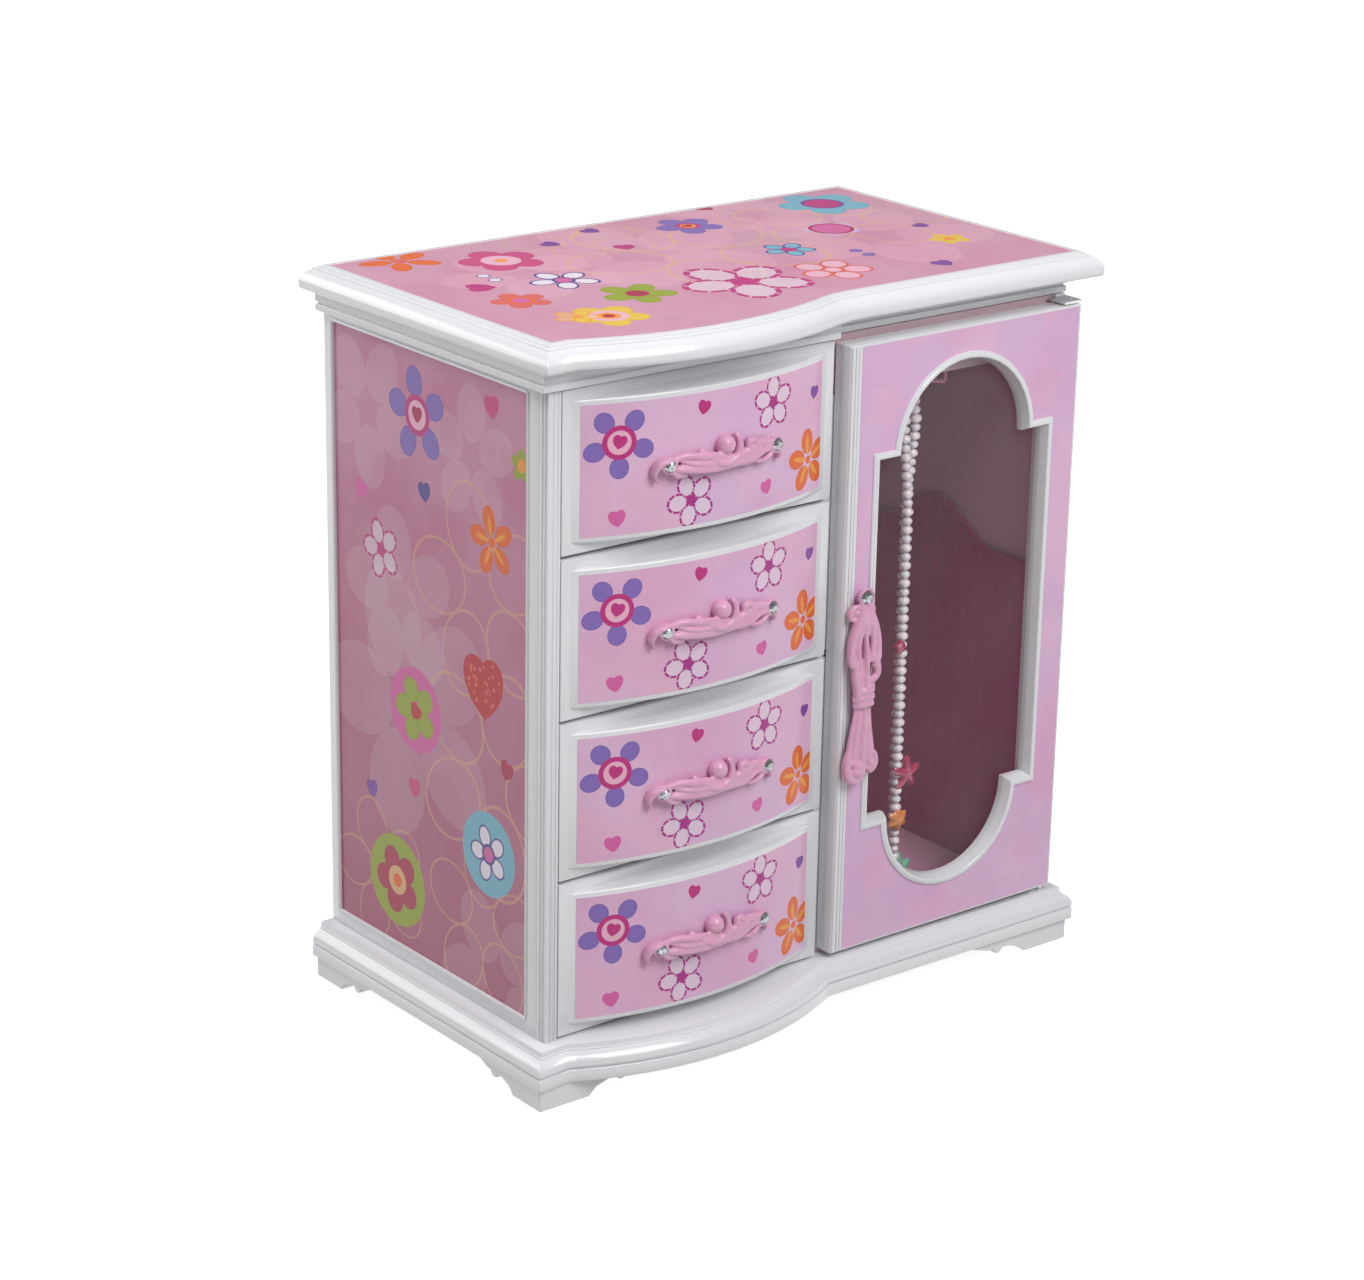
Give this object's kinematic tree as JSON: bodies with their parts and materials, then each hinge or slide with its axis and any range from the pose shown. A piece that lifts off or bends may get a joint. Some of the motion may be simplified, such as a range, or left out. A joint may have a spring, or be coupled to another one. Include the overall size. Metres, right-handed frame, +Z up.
{
  "type": "ballerina jewellery box",
  "caption": "Upright ballerina jewellery box: bowed drawers, glazed necklace cabinet, mirrored lid over a fitted tray, wind-up musical dancer.",
  "frame": {"origin": "middle of the whole box's outline in plan, on the plane that the feet stand on", "axes": "+X to the right along the front, +Y from the drawers to the back, +Z up"},
  "size_m": [0.3012, 0.2026, 0.3201],
  "materials": {
    "white_lacquer": "white gloss lacquer over fibreboard",
    "printed_panel": "white lacquer with a printed pink flower paper under clear gloss",
    "raw_board": "thin board painted pale pink, matt",
    "satin_pink": "padded pink satin, soft sheen",
    "lining_mauve": "mauve flocked lining, matt",
    "pocket_satin": "dark wine satin, gathered",
    "steel": "plain bright steel",
    "magnet": "dark ferrite",
    "brass": "bright stamped brass",
    "mirror_glass": "silvered mirror with a bevelled edge",
    "clear_pane": "clear acrylic sheet",
    "pink_plastic": "moulded pink plastic, satin gloss",
    "thread": "fine bead thread",
    "green_bead": "translucent green plastic",
    "doll_skin": "painted moulded plastic",
    "tulle": "stiff pink net"
  },
  "bodies": {
    "case": {"plinth_feet": "white_lacquer", "base_moulding": "white_lacquer", "bottom_board": "raw_board", "side_panel_left": "printed_panel", "side_panel_right": "printed_panel", "corner_post": "white_lacquer", "partition": "white_lacquer", "back_panel": "white_lacquer", "drawer_shelves": "raw_board", "tray": "satin_pink", "tray_lining": "satin_pink", "tray_divider": "white_lacquer", "ring_rolls": "satin_pink", "cabinet_lining": "lining_mauve", "necklace_pocket": "pocket_satin", "carousel_boss": "white_lacquer", "door_bracket": "steel", "catch_magnet": "magnet", "lid_hinge_lower": "brass", "lid_hinge_pins": "steel", "movement_bedplate": "brass", "movement_comb": "steel"},
    "lid": {"lid_board": "printed_panel", "lid_rim": "white_lacquer", "lid_mirror": "mirror_glass", "lid_hinge_upper": "brass"},
    "drawer_1": {"drawer_1_front": "printed_panel", "drawer_1_box": "raw_board", "drawer_1_lining": "satin_pink", "drawer_1_pull": "pink_plastic"},
    "drawer_2": {"drawer_2_front": "printed_panel", "drawer_2_box": "raw_board", "drawer_2_lining": "satin_pink", "drawer_2_pull": "pink_plastic"},
    "drawer_3": {"drawer_3_front": "printed_panel", "drawer_3_box": "raw_board", "drawer_3_lining": "satin_pink", "drawer_3_pull": "pink_plastic"},
    "drawer_4": {"drawer_4_front": "printed_panel", "drawer_4_box": "raw_board", "drawer_4_lining": "satin_pink", "drawer_4_pull": "pink_plastic"},
    "door": {"door_frame": "printed_panel", "door_bead": "white_lacquer", "door_pane": "clear_pane", "door_retainer": "white_lacquer", "door_pins": "steel", "door_catch_plate": "steel", "door_pull": "pink_plastic"},
    "carousel": {"necklace_carousel": "white_lacquer", "necklace_thread": "thread", "necklace_charms": "green_bead"},
    "key": {"winding_key": "brass"},
    "barrel": {"spring_barrel": "brass"},
    "drum": {"pinned_drum": "brass"},
    "fly": {"governor_fly": "steel"},
    "stem": {"ballerina_spring": "steel", "ballerina_ferrule": "brass"},
    "dancer": {"ballerina_figure": "doll_skin", "ballerina_tutu": "tulle"}
  },
  "joints": [
    {"name": "lid_hinge", "type": "hinge", "parent": "case", "child": "lid", "pos_m": [0, 0.0855, 0.3008], "axis": [-1, 0, 0], "range_deg": [0, 100]},
    {"name": "door_hinge", "type": "hinge", "parent": "case", "child": "door", "pos_m": [0.137, -0.0767, 0.16], "axis": [0, 0, 1], "range_deg": [0, 110]},
    {"name": "drawer_1_slide", "type": "slide", "parent": "case", "child": "drawer_1", "axis": [0, -1, 0], "range_m": [0, 0.08]},
    {"name": "drawer_2_slide", "type": "slide", "parent": "case", "child": "drawer_2", "axis": [0, -1, 0], "range_m": [0, 0.11]},
    {"name": "drawer_3_slide", "type": "slide", "parent": "case", "child": "drawer_3", "axis": [0, -1, 0], "range_m": [0, 0.11]},
    {"name": "drawer_4_slide", "type": "slide", "parent": "case", "child": "drawer_4", "axis": [0, -1, 0], "range_m": [0, 0.11]},
    {"name": "carousel_spin", "type": "hinge", "parent": "case", "child": "carousel", "pos_m": [0.067, -0.0157, 0.2623], "axis": [0, 0, 1], "continuous": true},
    {"name": "key_wind", "type": "hinge", "parent": "case", "child": "key", "pos_m": [-0.0644, 0.0833, 0.2482], "axis": [0, 1, 0], "continuous": true},
    {"name": "barrel_spin", "type": "hinge", "parent": "case", "child": "barrel", "pos_m": [-0.0644, 0.068, 0.2482], "axis": [0, 1, 0], "continuous": true},
    {"name": "drum_spin", "type": "hinge", "parent": "case", "child": "drum", "pos_m": [-0.0644, 0.0582, 0.2482], "axis": [0, 0, 1], "continuous": true},
    {"name": "fly_spin", "type": "hinge", "parent": "case", "child": "fly", "pos_m": [-0.07535, 0.0582, 0.2482], "axis": [0, 0, 1], "continuous": true},
    {"name": "dancer_fold", "type": "hinge", "parent": "case", "child": "stem", "pos_m": [-0.0644, 0.05616, 0.29106], "axis": [-1, 0, 0], "range_deg": [0, 90], "deforming": ["ballerina_spring"]},
    {"name": "dancer_spin", "type": "hinge", "parent": "stem", "child": "dancer", "pos_m": [-0.0644, 0.0487, 0.2931], "axis": [0, -1, 0], "continuous": true}
  ],
  "couplings": [
    {"joint": "drum_spin", "follows": "barrel_spin", "ratio": -1.5},
    {"joint": "fly_spin", "follows": "barrel_spin", "ratio": 3},
    {"joint": "dancer_spin", "follows": "barrel_spin", "ratio": -1.5},
    {"joint": "dancer_fold", "follows": "lid_hinge", "ratio": 0.9}
  ]
}
